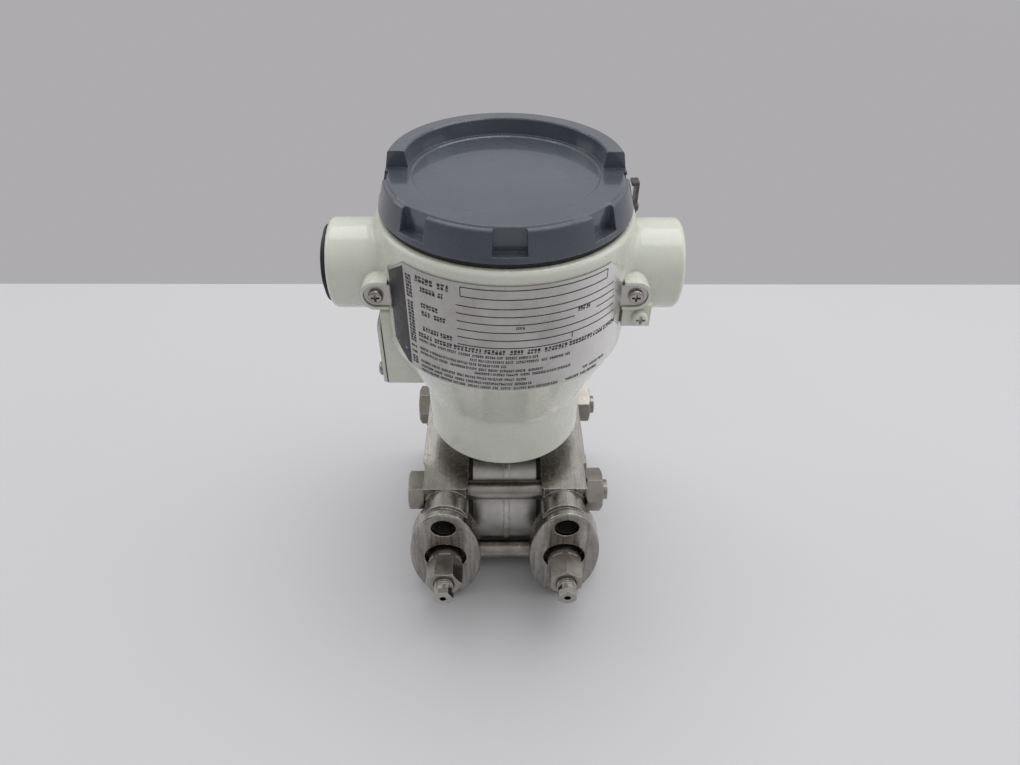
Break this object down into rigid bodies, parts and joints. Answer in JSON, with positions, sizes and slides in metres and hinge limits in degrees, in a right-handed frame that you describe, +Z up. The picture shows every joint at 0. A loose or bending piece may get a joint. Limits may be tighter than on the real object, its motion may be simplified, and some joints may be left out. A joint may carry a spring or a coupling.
{
  "type": "differential pressure transmitter",
  "caption": "Differential pressure transmitter with oval-flanged process heads bolted over a round sensor body and a cast, screw-covered electronics housing with side conduit entries.",
  "frame": {"origin": "under the middle of the bounding box, on the plane that the process heads stand on", "axes": "+Z up along the neck, -Y towards the vent plugs and the nameplate, +X towards the open conduit entry"},
  "size_m": [0.137, 0.1208, 0.2001],
  "materials": {
    "steel_body": "turned stainless steel",
    "capsule_steel": "smooth stainless steel",
    "gasket": "dark gasket sheet",
    "head_steel": "machined stainless steel",
    "fastener_steel": "stainless steel fastener",
    "bleed_steel": "turned stainless steel",
    "neck_steel": "turned stainless steel",
    "housing_paint": "glossy pale ivory green enamel",
    "cap_paint": "satin slate grey enamel",
    "black_rubber": "matt black",
    "black_plastic": "moulded black",
    "clip_steel": "dark oxidised steel",
    "plate_steel": "fine satin steel plate with dark print",
    "screw_steel": "bright plated screw",
    "brass": "plain brass",
    "potting": "dark potting compound"
  },
  "bodies": {
    "meter": {"meter_body": "steel_body", "sensor_capsule": "capsule_steel", "low_side_diaphragm": "capsule_steel", "high_side_diaphragm": "capsule_steel", "low_side_gasket": "gasket", "high_side_gasket": "gasket", "low_side_head": "head_steel", "high_side_head": "head_steel", "head_bolts": "fastener_steel", "head_nuts": "fastener_steel", "low_side_vent_plug": "fastener_steel", "high_side_vent_plug": "fastener_steel", "neck_adapter": "neck_steel"},
    "housing": {"neck_set_screw": "bleed_steel", "housing": "housing_paint", "zero_adjuster": "brass", "side_cover_gasket": "gasket", "side_cover": "housing_paint", "side_cover_screws": "screw_steel", "cap_seal": "black_rubber", "cap_lock_clip": "clip_steel", "cap_lock_screw": "clip_steel", "nameplate": "plate_steel", "nameplate_screws": "screw_steel", "earth_washer": "housing_paint", "earth_screw": "housing_paint", "conduit_plug_seal": "black_rubber", "conduit_plug": "black_plastic", "electronics_module": "potting", "terminal_block": "black_plastic", "terminal_screws": "brass", "module_screws": "screw_steel"},
    "cover": {"cap": "cap_paint"},
    "low_side_bleed": {"low_side_bleed_screw": "bleed_steel"},
    "high_side_bleed": {"high_side_bleed_screw": "bleed_steel"}
  },
  "joints": [
    {"name": "housing_swivel", "type": "hinge", "parent": "meter", "child": "housing", "pos_m": [0.0012, 0.01075, 0.09], "axis": [0, 0, 1], "range_deg": [-180, 180]},
    {"name": "cover_turn", "type": "hinge", "parent": "housing", "child": "cover", "pos_m": [0.0012, 0.01075, 0.185], "axis": [0, 0, 1], "range_deg": [0, 1620]},
    {"name": "low_side_bleed_turn", "type": "hinge", "parent": "meter", "child": "low_side_bleed", "pos_m": [-0.0258, -0.04925, 0.032], "axis": [0, -1, 0], "range_deg": [0, 450]},
    {"name": "high_side_bleed_turn", "type": "hinge", "parent": "meter", "child": "high_side_bleed", "pos_m": [0.0282, -0.04925, 0.032], "axis": [0, -1, 0], "range_deg": [0, 450]}
  ]
}
